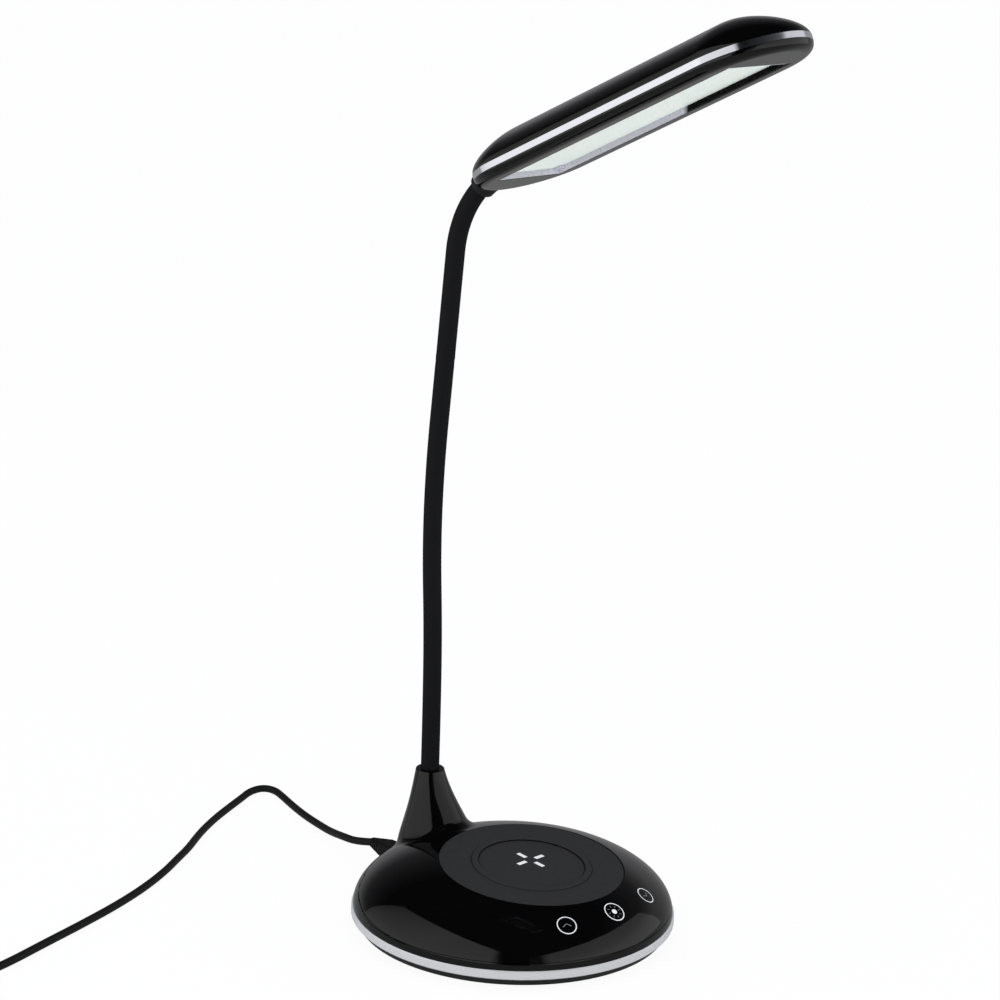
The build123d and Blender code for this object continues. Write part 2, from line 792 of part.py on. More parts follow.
frame_flange = 2.0
frame_rim = 0.2  # how far the frame stays behind the bezel's face
lug_length = 4.5
lug_width = 3.4
lug_height = 1.2
lug_hole_radius = 0.8
with BuildPart() as window_frame:
    with BuildSketch(head_level(window_centre, frame_rim)):
        Rectangle(opening_length - 2 * slip_fit, opening_width - 2 * slip_fit)
        Rectangle(window_length, window_width, mode=Mode.SUBTRACT)
    extrude(amount=window_depth - frame_rim)
    # flange on the bezel's back, outside the diffuser
    with BuildSketch(head_level(window_centre, head_wall + slip_fit)):
        Rectangle(opening_length + 2 * frame_flange, opening_width + 2 * frame_flange)
        Rectangle(window_length, window_width, mode=Mode.SUBTRACT)
    extrude(amount=window_depth - head_wall - slip_fit)
    # catch lugs in the two rear corners, each with its hole
    lug_side = (window_width - lug_width) / 2
    with BuildSketch(head_level(window_start + lug_length / 2, window_depth - lug_height)):
        with Locations((0, lug_side), (0, -lug_side)):
            Rectangle(lug_length, lug_width)
            Circle(lug_hole_radius, mode=Mode.SUBTRACT)
    extrude(amount=lug_height)
window_frame.part.label = "window_frame"
export_step(window_frame.part, "parts/window_frame.step")

with BuildPart() as diffuser:
    with BuildSketch(head_level(window_centre, window_depth)):
        Rectangle(opening_length, opening_width)
    extrude(amount=diffuser_thickness)
diffuser.part.label = "diffuser"
export_step(diffuser.part, "parts/diffuser.step")

# white tray between the diffuser and the LED board
tray_wall = 1.0
tray_bottom = window_depth + diffuser_thickness
with BuildPart() as light_tray:
    with BuildSketch(head_level(window_centre, tray_bottom)):
        Rectangle(opening_length, opening_width)
    with BuildSketch(head_level(window_centre, board_height)):
        Rectangle(led_board_length + 2 * tray_wall, led_board_width + 2 * tray_wall)
    loft()
    with BuildSketch(head_level(window_centre, tray_bottom)):
        Rectangle(opening_length - 2 * tray_wall, opening_width - 2 * tray_wall)
    with BuildSketch(head_level(window_centre, board_height)):
        Rectangle(led_board_length - tray_wall, led_board_width - tray_wall)
    loft(mode=Mode.SUBTRACT)
light_tray.part.label = "light_tray"
export_step(light_tray.part, "parts/light_tray.step")

with BuildPart() as led_board:
    with BuildSketch(head_level(window_centre, board_height)):
        Rectangle(led_board_length, led_board_width)
    extrude(amount=board_thickness)
    with BuildSketch(middle_level.offset(board_height)):
        with Locations(*led_screw_places):
            Circle(board_screw_radius + slip_fit)
    extrude(amount=board_thickness, mode=Mode.SUBTRACT)
led_board.part.label = "led_board"
export_step(led_board.part, "parts/led_board.step")

with BuildPart() as led_screws:
    for x, y in led_screw_places:
        screw(
            Plane(middle_level.from_local_coords((x, y, board_height)), z_dir=-upward),
            board_screw_radius - slip_fit / 2,
            board_screw_length,
            board_screw_head_radius,
            board_screw_head_height,
        )
led_screws.part.label = "led_screws"
export_step(led_screws.part, "parts/led_screws.step")

led_pitch = led_board_length / led_columns
led_row_pitch = led_board_width / led_rows
with BuildPart() as led_chips:
    with BuildSketch(head_level(window_centre, board_height)):
        with GridLocations(led_pitch, led_row_pitch, led_columns, led_rows):
            Rectangle(led_size, led_size)
    extrude(amount=-led_height)
led_chips.part.label = "led_chips"
export_step(led_chips.part, "parts/led_chips.step")

with BuildPart() as neck_collar:
    add(neck_rod(tail_runs, collar_radius, collar_start_cut, collar_end_cut))
    fillet(neck_collar.faces().sort_by(Axis(head_origin, along))[0].edges(), radius=1.2)
    add(neck_rod(tail_runs, sleeve_radius + slip_fit / 2, 0, 0), mode=Mode.SUBTRACT)
neck_collar.part.label = "neck_collar"
export_step(neck_collar.part, "parts/neck_collar.step")

# ---------------------------------------------------------------- USB lead
plug_face = -base_radius - seat_gap
relief_start = plug_face - plug_length
relief_end = relief_start - relief_length
plug_corner = 2.6
relief_tip = 2.7 * cable_radius
groove_width = 0.9
groove_depth = 0.6
groove_pitch = 2.4
groove_count = 4
with BuildPart() as plug_body:
    with BuildSketch(Plane(origin=(plug_face, 0, plug_height_z), x_dir=(0, 1, 0), z_dir=(-1, 0, 0))):
        RectangleRounded(plug_width, plug_thickness, plug_corner)
    extrude(amount=plug_length)
    fillet(plug_body.faces().sort_by(Axis.X)[-1].edges(), radius=edge_break)
    with BuildSketch(Plane(origin=(relief_start, 0, plug_height_z), x_dir=(0, 1, 0), z_dir=(-1, 0, 0))):
        RectangleRounded(plug_width, plug_thickness, plug_corner)
    with BuildSketch(Plane(origin=(relief_end, 0, plug_height_z), x_dir=(0, 1, 0), z_dir=(-1, 0, 0))):
        RectangleRounded(relief_tip, relief_tip, 0.45 * relief_tip)
    loft()
    # grooves that let the strain relief bend
    for groove in range(groove_count):
        taper = groove_pitch * (groove + 0.5) / relief_length
        width = plug_width + (relief_tip - plug_width) * taper - 2 * groove_depth
        thickness = plug_thickness + (relief_tip - plug_thickness) * taper - 2 * groove_depth
        start = relief_start - groove_pitch * (groove + 0.5)
        with BuildSketch(Plane(origin=(start, 0, plug_height_z), x_dir=(0, 1, 0), z_dir=(-1, 0, 0))):
            Rectangle(2 * plug_width, 2 * plug_thickness)
            RectangleRounded(width, thickness, 0.4 * min(width, thickness), mode=Mode.SUBTRACT)
        extrude(amount=groove_width, mode=Mode.SUBTRACT)
plug_body.part.label = "plug_body"
export_step(plug_body.part, "parts/plug_body.step")

with BuildPart() as plug_shell:
    with BuildSketch(Plane(origin=(plug_face, 0, plug_height_z), x_dir=(0, 1, 0), z_dir=(1, 0, 0))):
        RectangleRounded(shell_width, shell_thickness, 1.1)
    extrude(amount=shell_length + base_radius - inner_radius)
plug_shell.part.label = "plug_shell"
export_step(plug_shell.part, "parts/plug_shell.step")

cable_floor = cable_radius + 0.05
lane_radius = coil_radius + 2 * cable_radius  # the coil's outer turn
lead_route = [
    (relief_end, 0.0, plug_height_z),
    (relief_end - 11.0, 1.2, 11.6),
    (-134.0, 6.2, 8.0),
    (-150.0, 12.3, 4.6),
    (-166.0, 19.4, 2.6),
    (-184.0, 26.3, cable_floor),
    (-200.0, 30.4, cable_floor),
    (-212.0, 32.8, cable_floor),
    (-223.8, 33.0, cable_floor),
    (-233.0, 25.6, cable_floor),
    (-234.9, 13.4, cable_floor),
    (-228.6, -0.8, cable_floor),
    (-218.6, -18.5, cable_floor),
    (-205.4, -38.2, cable_floor),
    (-193.2, -56.8, cable_floor),
    (-181.5, -76.0, cable_floor),
    (-169.0, -98.0, cable_floor),
    (-158.0, -122.0, cable_floor),
    (-149.0, -148.0, cable_floor),
    (-141.4, -176.0, cable_floor),
    (-134.6, -204.0, cable_floor),
    (-127.6, -231.0, cable_floor),
    (coil_centre[0] + lane_radius + 0.6, coil_centre[1] + 16.0, cable_floor + coil_lift),
    (coil_centre[0] + lane_radius, coil_centre[1], cable_floor + coil_lift),
]


def arc_radii(route):
    """for each corner, the largest arc that 0.45 of its shorter run allows"""
    radii = []
    for before, corner, after in zip(route, route[1:], route[2:]):
        run_in = Vector(corner) - Vector(before)
        run_out = Vector(after) - Vector(corner)
        turn = radians(run_in.get_angle(run_out))
        radii.append(0.45 * min(run_in.length, run_out.length) / tan(turn / 2))
    return radii


def cable(route):
    """a round tube along straight runs joined by tangent arcs"""
    radii = arc_radii(route)
    with BuildPart() as tube:
        with BuildLine() as path:
            FilletPolyline(*route, radius=radii)
        route_length = path.wires()[0].length
        with BuildSketch(Plane(path.line @ 0, z_dir=path.line % 0)):
            Circle(cable_radius)
        sweep()
    print("cable arcs", [round(radius, 1) for radius in radii], "length", round(route_length, 1))
    print("volume over section times length", tube.part.volume / (pi * cable_radius**2 * route_length))
    return tube.part


lead_cable = cable(lead_route)
lead_cable.label = "lead_cable"
export_step(lead_cable, "parts/lead_cable.step")

with BuildPart() as lead_coil:
    with BuildSketch(Plane.XY.offset(coil_lift)):
        with Locations(coil_centre):
            Circle(coil_radius + coil_width / 2)
            Circle(coil_radius - coil_width / 2, mode=Mode.SUBTRACT)
    extrude(amount=coil_height)
    fillet(lead_coil.edges(), radius=cable_radius * 0.9)
lead_coil.part.label = "lead_coil"
export_step(lead_coil.part, "parts/lead_coil.step")

tie_wall = 0.6
tie_width = 6.0
tie_plane = Plane(
    origin=(coil_centre[0] - coil_radius, coil_centre[1] - tie_width / 2, coil_lift + coil_height / 2),
    x_dir=(1, 0, 0),
    z_dir=(0, 1, 0),
)
tie_clearance = 0.3
tie_corner = 1.6
tie_length = coil_width + 2 * tie_clearance
tie_height = coil_height + 2 * slip_fit
with BuildPart() as coil_tie:
    with BuildSketch(tie_plane):
        RectangleRounded(tie_length + 2 * tie_wall, tie_height + 2 * tie_wall, tie_corner + tie_wall)
        RectangleRounded(tie_length, tie_height, tie_corner, mode=Mode.SUBTRACT)
    extrude(amount=tie_width)
coil_tie.part.label = "coil_tie"
export_step(coil_tie.part, "parts/coil_tie.step")

usb_a_width = 15.6
usb_a_thickness = 7.6
usb_a_length = 24.0
usb_a_neck = 9.0
usb_a_corner = 2.2
usb_a_shell_length = 12.0
usb_a_shell_width = 12.0
usb_a_shell_thickness = 4.5
usb_a_shell_wall = 0.3
usb_a_tongue = 1.9
latch_size = 2.2
tail_step = 11.0
tail_start = Vector(coil_centre[0], coil_centre[1] - lane_radius)
tail_route = [
    tail_start + Vector(0, 0, cable_floor + coil_lift + 2 * cable_radius),
    tail_start + Vector(-tail_step, -0.3, 6.2),
    tail_start + Vector(-2 * tail_step, -1.6, 4.4),
    tail_start + Vector(-3 * tail_step, -2.2, usb_a_thickness / 2),
]
lead_tail = cable(tail_route)
lead_tail.label = "lead_tail"
export_step(lead_tail, "parts/lead_tail.step")

usb_a_plane = Plane(origin=tail_route[-1], x_dir=(0, 1, 0), z_dir=(-1, 0, 0))
with BuildPart() as usb_a_body:
    with BuildSketch(usb_a_plane):
        RectangleRounded(relief_tip, relief_tip, 0.45 * relief_tip)
    with BuildSketch(usb_a_plane.offset(usb_a_neck)):
        RectangleRounded(usb_a_width, usb_a_thickness, usb_a_corner)
    loft()
    with BuildSketch(usb_a_plane.offset(usb_a_neck)):
        RectangleRounded(usb_a_width, usb_a_thickness, usb_a_corner)
    extrude(amount=usb_a_length - usb_a_neck)
    fillet(usb_a_body.faces().sort_by(Axis.X)[0].edges(), radius=edge_break)
usb_a_body.part.label = "usb_a_body"
export_step(usb_a_body.part, "parts/usb_a_body.step")

with BuildPart() as usb_a_shell:
    with BuildSketch(usb_a_plane.offset(usb_a_length)):
        Rectangle(usb_a_shell_width, usb_a_shell_thickness)
    extrude(amount=usb_a_shell_length)
    # the mouth, beside the tongue that fills its other half
    mouth_height = usb_a_shell_thickness - 2 * usb_a_shell_wall - usb_a_tongue
    with BuildSketch(usb_a_plane.offset(usb_a_length + usb_a_shell_wall)):
        with Locations((0, (usb_a_tongue - usb_a_shell_wall) / 2)):
            Rectangle(usb_a_shell_width - 2 * usb_a_shell_wall, mouth_height)
    extrude(amount=usb_a_shell_length, mode=Mode.SUBTRACT)
    # the two latch holes in its upper wall
    with BuildSketch(Plane.XY.offset(usb_a_thickness / 2)):
        with Locations((tail_route[-1].X - usb_a_length - usb_a_shell_length / 2, tail_route[-1].Y)):
            with GridLocations(latch_size, usb_a_shell_width / 2, 1, 2):
                Rectangle(latch_size, latch_size)
    extrude(amount=usb_a_shell_thickness, mode=Mode.SUBTRACT)
usb_a_shell.part.label = "usb_a_shell"
export_step(usb_a_shell.part, "parts/usb_a_shell.step")
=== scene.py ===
# Gooseneck desk lamp with a charging base: finishes, neck sleeve, printed marks and the loose lead.
# Metres throughout. +X is the lamp's front, +Y its left, +Z up from the desk.

import json
from math import cos, pi, radians, sin, tan

import bmesh
import bpy
from mathutils import Matrix, Vector
from mathutils.bvhtree import BVHTree

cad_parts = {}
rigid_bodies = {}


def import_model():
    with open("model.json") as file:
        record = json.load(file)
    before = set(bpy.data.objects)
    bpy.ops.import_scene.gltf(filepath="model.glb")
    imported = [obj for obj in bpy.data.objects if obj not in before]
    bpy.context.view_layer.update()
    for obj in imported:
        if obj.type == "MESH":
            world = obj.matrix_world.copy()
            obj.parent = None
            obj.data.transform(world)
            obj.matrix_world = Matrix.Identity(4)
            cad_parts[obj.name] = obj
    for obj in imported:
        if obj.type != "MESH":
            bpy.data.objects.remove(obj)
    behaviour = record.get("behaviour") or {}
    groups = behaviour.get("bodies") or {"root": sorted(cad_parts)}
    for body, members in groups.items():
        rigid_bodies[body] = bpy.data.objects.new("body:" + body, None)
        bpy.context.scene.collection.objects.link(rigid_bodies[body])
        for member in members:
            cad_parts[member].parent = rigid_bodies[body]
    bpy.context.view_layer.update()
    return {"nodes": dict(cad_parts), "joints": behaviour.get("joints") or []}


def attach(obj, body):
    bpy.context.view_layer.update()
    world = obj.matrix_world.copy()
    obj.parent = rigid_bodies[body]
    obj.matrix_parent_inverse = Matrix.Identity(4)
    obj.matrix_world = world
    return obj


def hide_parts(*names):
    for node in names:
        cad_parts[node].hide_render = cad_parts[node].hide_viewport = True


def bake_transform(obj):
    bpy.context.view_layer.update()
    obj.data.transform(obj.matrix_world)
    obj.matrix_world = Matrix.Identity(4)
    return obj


for leftover in list(bpy.data.objects):
    bpy.data.objects.remove(leftover)
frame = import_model()
scene = bpy.context.scene
mm = 0.001
up = Vector((0, 0, 1))
sharpEdge = radians(38)  # edges that turn further are shaded sharp
print("frame loaded, nodes:", len(frame["nodes"]))


def pointing(azimuth, elevation=0.0):
    # the unit vector that points that way, in degrees
    level = cos(radians(elevation))
    return Vector((level * cos(radians(azimuth)), level * sin(radians(azimuth)), sin(radians(elevation))))


def meshObject(name, bm, materials):
    # ends a bmesh: faces outwards, smooth but for its sharp edges, in an object at the origin
    bmesh.ops.recalc_face_normals(bm, faces=bm.faces)
    for face in bm.faces:
        face.smooth = True
    for edge in bm.edges:
        if len(edge.link_faces) == 2 and edge.calc_face_angle() > sharpEdge:
            edge.smooth = False
    mesh = bpy.data.meshes.new(name)
    bm.to_mesh(mesh)
    bm.free()
    for material in materials:
        mesh.materials.append(material)
    piece = bpy.data.objects.new(name, mesh)
    scene.collection.objects.link(piece)
    return piece


def addNode(nodes, kind, values=None):
    # a new shader node with some of its sockets set
    node = nodes.new("ShaderNode" + kind)
    for socket, value in (values or {}).items():
        node.inputs[socket].default_value = value
    return node


def setRamp(ramp, stops):
    # place and colour of each stop, in order
    elements = ramp.color_ramp.elements
    for element, (spot, color) in zip(elements, (stops[0], stops[-1])):
        element.position = spot
        element.color = (*color, 1)
    for spot, color in stops[1:-1]:
        elements.new(spot).color = (*color, 1)


def plainMaterial(name):
    material = bpy.data.materials.new(name)
    material.use_nodes = True
    material.node_tree.nodes.clear()
    return material, material.node_tree.nodes, material.node_tree.links


# The camera stands at the lamp's right front corner, a little above it.
shot = {
    "distance": 1.5,  # from the middle of the foot
    "azimuth": -46.5,
    "elevation": 23.35,
    "aimRight": -0.58,  # degrees off the foot's middle
    "aimUp": 8.54,
    "roll": 2.03,
    "lens": 101.16,
    "sensor": 36,
}


def placeCamera(plan):
    outward = pointing(plan["azimuth"], plan["elevation"])
    sight = -outward
    sideways = sight.cross(up).normalized()
    upwards = sideways.cross(sight)
    aim = sight + sideways * tan(radians(plan["aimRight"])) + upwards * tan(radians(plan["aimUp"]))
    lens = bpy.data.cameras.new("deskCamera")
    lens.lens = plan["lens"]
    lens.sensor_width = plan["sensor"]
    camera = bpy.data.objects.new("deskCamera", lens)
    turned = aim.to_track_quat("-Z", "Y").to_matrix() @ Matrix.Rotation(radians(plan["roll"]), 3, "Z")
    camera.matrix_world = Matrix.Translation(outward * plan["distance"]) @ turned.to_4x4()
    scene.collection.objects.link(camera)
    scene.camera = camera
    scene.view_settings.view_transform = "Standard"


placeCamera(shot)
print("camera placed")

# The stage: a white floor, two tall soft boxes, a dark card between them, and the sky.
floorPlan = {
    "size": 30.0,
    "white": 0.9,
    "glow": 0.94,  # share of the floor's look that is plain white
    "mirror": 0.27,  # how bright the floor is in the lamp's gloss
}


def seenDirectly(nodes, links, path):
    # 1 for camera, mirror and see-through rays, 0 for the rays that light the lamp
    mirrorOrGlass = addNode(nodes, "Math")
    mirrorOrGlass.operation = "MAXIMUM"
    anyOfThem = addNode(nodes, "Math")
    anyOfThem.operation = "MAXIMUM"
    links.new(path.outputs["Is Glossy Ray"], mirrorOrGlass.inputs[0])
    links.new(path.outputs["Is Transmission Ray"], mirrorOrGlass.inputs[1])
    links.new(path.outputs["Is Camera Ray"], anyOfThem.inputs[0])
    links.new(mirrorOrGlass.outputs[0], anyOfThem.inputs[1])
    return anyOfThem.outputs[0]


def layFloor(plan):
    material, nodes, links = plainMaterial("floorWhite")
    matte = addNode(nodes, "BsdfDiffuse", {"Color": (plan["white"],) * 3 + (1,)})
    glow = addNode(nodes, "Emission")
    path = addNode(nodes, "LightPath")
    dim = addNode(nodes, "MapRange", {"To Min": 1.0, "To Max": plan["mirror"]})  # only the gloss sees it dim
    share = addNode(nodes, "MapRange", {"To Max": plan["glow"]})
    blend = addNode(nodes, "MixShader")
    output = addNode(nodes, "OutputMaterial")
    links.new(path.outputs["Is Glossy Ray"], dim.inputs["Value"])
    links.new(dim.outputs[0], glow.inputs["Strength"])
    links.new(seenDirectly(nodes, links, path), share.inputs["Value"])
    links.new(share.outputs[0], blend.inputs[0])
    links.new(matte.outputs[0], blend.inputs[1])
    links.new(glow.outputs[0], blend.inputs[2])
    links.new(blend.outputs[0], output.inputs["Surface"])
    bm = bmesh.new()
    bmesh.ops.create_grid(bm, x_segments=1, y_segments=1, size=plan["size"] / 2)
    meshObject("deskTop", bm, [material])


boxPlans = {
    "leftBox": {
        "azimuth": -112,
        "distance": 0.95,
        "width": 3.0,
        "bottom": 0.02,
        "top": 1.6,
        "brightness": 0.78,
        "topShare": 0.85,  # share of the brightness at the top
        "farShare": 0.25,  # and at the edge away from the card
    },
    "rightBox": {
        "azimuth": 27,
        "distance": 1.15,
        "width": 3.0,
        "bottom": 0.02,
        "top": 1.15,
        "brightness": 0.62,
        "topShare": 0.95,
        "farShare": 0.5,
    },
}
fadePlan = {
    "nearShare": 0.05,  # brightness at the edge by the card
    "fullFrom": 0.1,  # full brightness starts and ends here, as shares of the width from that edge
    "fullTo": 0.5,
}


def standing(plan):
    # a place beside the lamp, upright and turned to face it
    away = pointing(plan["azimuth"])
    place = away * plan["distance"] + up * ((plan["bottom"] + plan["top"]) / 2)
    return Matrix.Translation(place) @ (-away).to_track_quat("-Z", "Y").to_matrix().to_4x4()


def addSoftBox(name, plan, fading):
    height = plan["top"] - plan["bottom"]
    lamp = bpy.data.lights.new(name, "AREA")
    lamp.shape = "RECTANGLE"
    lamp.size = plan["width"]
    lamp.size_y = height
    lamp.energy = plan["brightness"] * pi * plan["width"] * height
    lamp.use_nodes = True
    nodes, links = lamp.node_tree.nodes, lamp.node_tree.links
    levels = [
        (0.0, fading["nearShare"]),
        (fading["fullFrom"], 1.0),
        (fading["fullTo"], 1.0),
        (1.0, plan["farShare"]),
    ]
    if plan["azimuth"] < 0:  # the other way round, so that the dark edges face each other
        levels = [(1 - spot, level) for spot, level in reversed(levels)]
    across = addNode(nodes, "NewGeometry")
    split = addNode(nodes, "SeparateXYZ")
    fade = addNode(nodes, "ValToRGB")
    setRamp(fade, [(spot, (level, level, level)) for spot, level in levels])
    rise = addNode(nodes, "MapRange", {"To Min": 1.0, "To Max": plan["topShare"]})
    links.new(across.outputs["Parametric"], split.inputs[0])
    links.new(split.outputs["X"], fade.inputs[0])
    links.new(split.outputs["Y"], rise.inputs["Value"])
    links.new(fade.outputs[0], nodes["Emission"].inputs["Color"])
    links.new(rise.outputs[0], nodes["Emission"].inputs["Strength"])
    box = bpy.data.objects.new(name, lamp)
    box.matrix_world = standing(plan)
    box.visible_camera = False
    scene.collection.objects.link(box)


cardPlan = {
    "azimuth": -43,
    "distance": 1.3,
    "width": 0.42,
    "bottom": 0.0,
    "top": 1.2,
    "black": 0.004,
}


def standCard(plan):
    material, nodes, links = plainMaterial("cardBlack")
    matte = addNode(nodes, "BsdfDiffuse", {"Color": (plan["black"],) * 3 + (1,)})
    output = addNode(nodes, "OutputMaterial")
    links.new(matte.outputs[0], output.inputs["Surface"])
    bm = bmesh.new()
    bmesh.ops.create_grid(bm, x_segments=1, y_segments=1, size=0.5)
    bmesh.ops.scale(bm, vec=(plan["width"], plan["top"] - plan["bottom"], 1), verts=bm.verts)
    bmesh.ops.transform(bm, matrix=standing(plan), verts=bm.verts)
    card = meshObject("darkCard", bm, [material])
    card.visible_camera = False  # only the lamp's gloss sees it
    card.visible_diffuse = False
    card.visible_shadow = False
    card.visible_transmission = False


skyPlan = {
    "tilt": (-0.10, -0.28, 1.0),  # the way in which the sky in the gloss darkens
    "inGloss": [(0.02, (0.3, 0.3, 0.31)), (0.25, (0.09, 0.09, 0.095)), (0.62, (0.008, 0.008, 0.009))],
    "forObject": (0.95, 0.97, 1, 1),
    "strength": 0.88,
}


def hangSky(plan):
    # white for the camera, dark for the gloss, and plain for what lights the lamp
    world = bpy.data.worlds.new("studio")
    scene.world = world
    world.use_nodes = True
    nodes, links = world.node_tree.nodes, world.node_tree.links
    nodes.clear()
    place = addNode(nodes, "TexCoord")
    tilted = addNode(nodes, "VectorMath", {1: plan["tilt"]})
    tilted.operation = "DOT_PRODUCT"
    darkening = addNode(nodes, "ValToRGB")
    setRamp(darkening, plan["inGloss"])
    path = addNode(nodes, "LightPath")
    glossSky = addNode(nodes, "Background")
    plainSky = addNode(nodes, "Background", {"Color": plan["forObject"], "Strength": plan["strength"]})
    whiteSky = addNode(nodes, "Background")
    mixGloss = addNode(nodes, "MixShader")
    mixWhite = addNode(nodes, "MixShader")
    output = addNode(nodes, "OutputWorld")
    links.new(place.outputs["Generated"], tilted.inputs[0])
    links.new(tilted.outputs["Value"], darkening.inputs[0])
    links.new(darkening.outputs[0], glossSky.inputs["Color"])
    links.new(path.outputs["Is Glossy Ray"], mixGloss.inputs[0])
    links.new(plainSky.outputs[0], mixGloss.inputs[1])
    links.new(glossSky.outputs[0], mixGloss.inputs[2])
    links.new(path.outputs["Is Camera Ray"], mixWhite.inputs[0])
    links.new(mixGloss.outputs[0], mixWhite.inputs[1])
    links.new(whiteSky.outputs[0], mixWhite.inputs[2])
    links.new(mixWhite.outputs[0], output.inputs["Surface"])


layFloor(floorPlan)
for name, plan in boxPlans.items():
    addSoftBox(name, plan, fadePlan)
standCard(cardPlan)
hangSky(skyPlan)
print("stage lit")

# Every finish has a fine grain in its colour and relief, and broad patches, as of handling, in its roughness.
grainPlan = {
    "detail": 4,
    "low": 0.3,  # the part of the noise that is used
    "high": 0.7,
    "relief": 0.2 * mm,
    "patchSize": 18,  # grains across a patch
    "patchDetail": 3,
    "smoothest": 0.01,
    "clearDepth": 2 * mm,  # how deep light goes into a clear finish
}


def finish(name, color, roughness, grain, bump, metallic=0.0, roughSpread=0.08, tint=0.08, stretch=(1, 1, 1),
           clear=0.0, shine=0.5):
    material = bpy.data.materials.new(name)
    material.use_nodes = True
    nodes, links = material.node_tree.nodes, material.node_tree.links
    shader = nodes["Principled BSDF"]
    shader.inputs["Metallic"].default_value = metallic
    shader.inputs["Specular IOR Level"].default_value = shine
    shader.inputs["Subsurface Weight"].default_value = clear
    shader.inputs["Subsurface Scale"].default_value = grainPlan["clearDepth"]
    where = addNode(nodes, "TexCoord")
    lie = addNode(nodes, "Mapping", {"Scale": stretch})
    fine = addNode(nodes, "TexNoise", {"Scale": grain, "Detail": grainPlan["detail"]})
    broad = addNode(nodes, "TexNoise", {
        "Scale": grain / grainPlan["patchSize"],
        "Detail": grainPlan["patchDetail"],
    })
    gloss = addNode(nodes, "MapRange", {
        "From Min": grainPlan["low"],
        "From Max": grainPlan["high"],
        "To Min": max(roughness - roughSpread / 2, grainPlan["smoothest"]),
        "To Max": roughness + roughSpread / 2,
    })
    shade = addNode(nodes, "ValToRGB")
    setRamp(shade, [
        (grainPlan["low"], [channel * (1 - tint) for channel in color]),
        (grainPlan["high"], [min(channel * (1 + tint), 1) for channel in color]),
    ])
    relief = addNode(nodes, "Bump", {"Strength": bump, "Distance": grainPlan["relief"]})
    links.new(where.outputs["Object"], lie.inputs["Vector"])
    links.new(lie.outputs[0], fine.inputs["Vector"])
    links.new(lie.outputs[0], broad.inputs["Vector"])
    links.new(broad.outputs["Fac"], gloss.inputs["Value"])
    links.new(gloss.outputs[0], shader.inputs["Roughness"])
    links.new(fine.outputs["Fac"], shade.inputs[0])
    links.new(shade.outputs[0], shader.inputs["Base Color"])
    links.new(fine.outputs["Fac"], relief.inputs["Height"])
    links.new(relief.outputs[0], shader.inputs["Normal"])
    return material


